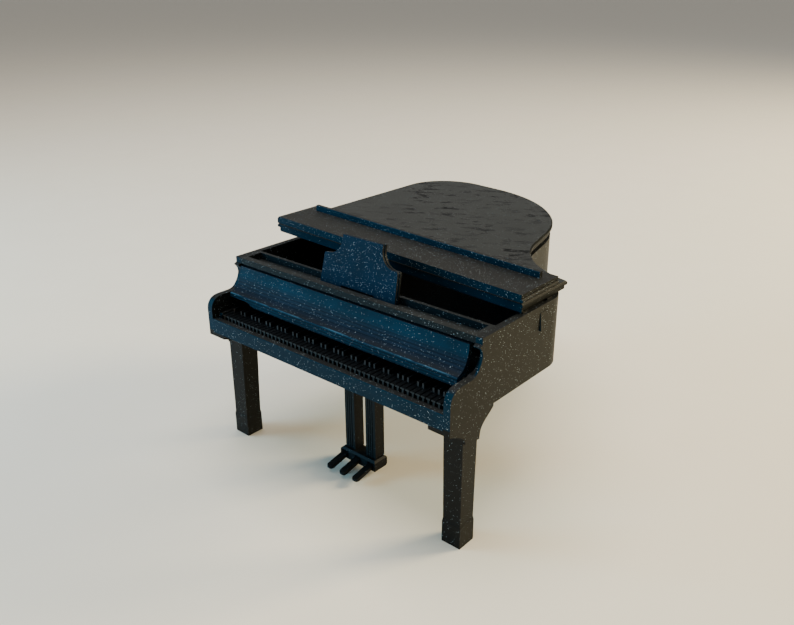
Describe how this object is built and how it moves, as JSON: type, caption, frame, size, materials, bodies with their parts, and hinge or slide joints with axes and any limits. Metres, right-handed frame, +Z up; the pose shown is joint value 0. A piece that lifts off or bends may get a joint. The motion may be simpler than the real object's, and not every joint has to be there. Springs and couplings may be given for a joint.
{
  "type": "miniature grand piano",
  "caption": "Miniature grand piano for a dolls house: curved case, hinged lid with folding front flap, fallboard over a keyboard, music desk, legs and pedal lyre.",
  "frame": {"origin": "on the floor under the middle of the piano's overall width and length", "axes": "+X towards the treble side, +Y from the keyboard to the tail, +Z up"},
  "size_m": [0.0627, 0.077, 0.0483],
  "materials": {
    "case": "dark printed plastic with fine pale flecks and layer lines",
    "legs": "dark printed plastic with fine pale flecks",
    "lid": "dark printed plastic, low sheen on the flat faces",
    "fallboard": "dark printed plastic with layer lines along its length",
    "music_desk": "dark printed plastic with fine pale flecks",
    "white_keys": "off-white printed plastic",
    "black_keys": "near-black printed plastic",
    "pedals": "dark printed plastic",
    "fittings": "dark plastic",
    "hardware": "dark thin wire"
  },
  "bodies": {
    "case": {"case_rim": "case", "case_floor": "case", "keybed": "case", "key_slip": "case", "belly_rail": "case", "music_shelf": "case", "key_block_left": "case", "key_block_right": "case", "white_keys": "white_keys", "black_keys": "black_keys", "front_leg_left": "legs", "front_leg_right": "legs", "rear_leg": "legs", "lyre_post_left": "legs", "lyre_post_right": "legs", "lyre_box": "legs", "pedal_rod": "hardware", "lid_hinge_case_leaves": "hardware", "lid_hinge_pins": "hardware", "lid_bumpers": "fittings", "prop_socket": "fittings", "fallboard_pins": "hardware"},
    "lid": {"lid_main": "lid", "lid_hinge_lid_leaves": "hardware", "flap_hinge_rod": "hardware", "prop_bracket": "fittings", "prop_pin": "hardware"},
    "flap": {"lid_flap": "lid", "flap_lip": "lid"},
    "prop": {"lid_prop": "fittings"},
    "music_desk": {"music_desk": "music_desk"},
    "fallboard": {"fallboard": "fallboard"},
    "pedal_left": {"pedal_left": "pedals"},
    "pedal_middle": {"pedal_middle": "pedals"},
    "pedal_right": {"pedal_right": "pedals"}
  },
  "joints": [
    {"name": "lid_open", "type": "hinge", "parent": "case", "child": "lid", "pos_m": [-0.0301, 0, 0.04075], "axis": [0, -1, 0], "range_deg": [0, 33]},
    {"name": "flap_fold", "type": "hinge", "parent": "lid", "child": "flap", "pos_m": [0, -0.0183, 0.04259], "axis": [0.9993, 0, -0.0366], "range_deg": [0, 115]},
    {"name": "prop_swing", "type": "hinge", "parent": "lid", "child": "prop", "pos_m": [0.02588, -0.0115, 0.03914], "axis": [0, -1, 0], "range_deg": [0, 79]},
    {"name": "desk_lift", "type": "slide", "parent": "case", "child": "music_desk", "axis": [0, 0.2164, 0.9763], "range_m": [0, 0.045]},
    {"name": "fallboard_close", "type": "hinge", "parent": "case", "child": "fallboard", "pos_m": [0, -0.0321, 0.0321], "axis": [1, 0, 0], "range_deg": [0, 120]},
    {"name": "pedal_left_press", "type": "hinge", "parent": "case", "child": "pedal_left", "pos_m": [-0.0035, -0.0257, 0.0023], "axis": [1, 0, 0], "range_deg": [0, 4], "stiffness_Nm_per_rad": 0.0001, "springref_deg": -5.73},
    {"name": "pedal_middle_press", "type": "hinge", "parent": "case", "child": "pedal_middle", "pos_m": [0, -0.0257, 0.0023], "axis": [1, 0, 0], "range_deg": [0, 4], "stiffness_Nm_per_rad": 0.0001, "springref_deg": -5.73},
    {"name": "pedal_right_press", "type": "hinge", "parent": "case", "child": "pedal_right", "pos_m": [0.0035, -0.0257, 0.0023], "axis": [1, 0, 0], "range_deg": [0, 4], "stiffness_Nm_per_rad": 0.0001, "springref_deg": -5.73}
  ],
  "couplings": [
    {"joint": "prop_swing", "follows": "lid_open", "ratio": 2.3832}
  ]
}
